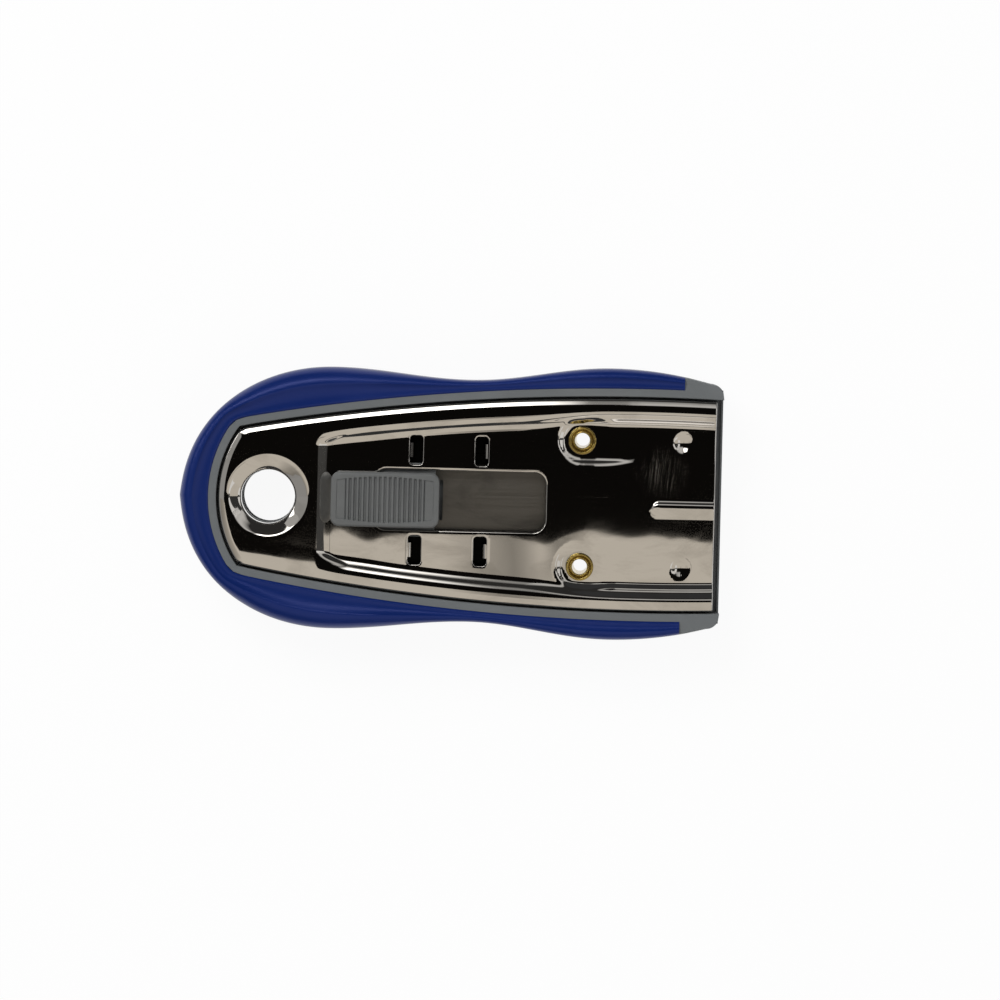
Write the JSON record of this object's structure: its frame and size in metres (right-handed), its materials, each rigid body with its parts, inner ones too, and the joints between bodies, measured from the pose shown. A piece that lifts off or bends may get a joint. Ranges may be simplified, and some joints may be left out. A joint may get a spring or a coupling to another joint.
{
  "type": "razor blade scraper",
  "caption": "Palm-sized scraper: a pressed steel housing with a sliding single-edge blade and thumb button, set in a waisted soft-grip handle with a hang hole.",
  "frame": {"origin": "middle of the flat back, at the centre of the outline's length and width", "axes": "+X along the tool towards the blade, +Y across the tool to the left of someone looking along +X, +Z out of the steel face"},
  "size_m": [0.103, 0.0516, 0.0172],
  "materials": {
    "grip_rubber": "satin soft-touch rubber",
    "handle_plastic": "fine matte grey plastic",
    "button_plastic": "matte grey plastic",
    "plated_steel": "bright nickel plate",
    "plain_steel": "brushed",
    "blade_steel": "fine ground",
    "eyelet_brass": "bright rolled brass"
  },
  "bodies": {
    "handle": {"handle_frame": "handle_plastic", "handle_back": "handle_plastic", "grip_sleeve": "grip_rubber", "palm_pad": "grip_rubber", "top_shell": "plated_steel", "base_plate": "plain_steel", "eyelet_left": "eyelet_brass", "eyelet_right": "eyelet_brass", "eyelet_spacers": "plain_steel", "eyelet_washers": "blade_steel"},
    "carrier": {"blade_carrier": "plain_steel", "blade": "blade_steel", "blade_spine": "blade_steel", "button_spring": "blade_steel"},
    "button": {"thumb_button": "button_plastic"}
  },
  "joints": [
    {"name": "carrier_slide", "type": "slide", "parent": "handle", "child": "carrier", "axis": [1, 0, 0], "range_m": [0, 0.018]},
    {"name": "button_press", "type": "slide", "parent": "carrier", "child": "button", "axis": [0, 0, -1], "range_m": [0, 0.0006], "stiffness_N_per_m": 900, "springref_m": -0.0012, "deforming": ["button_spring"]}
  ]
}
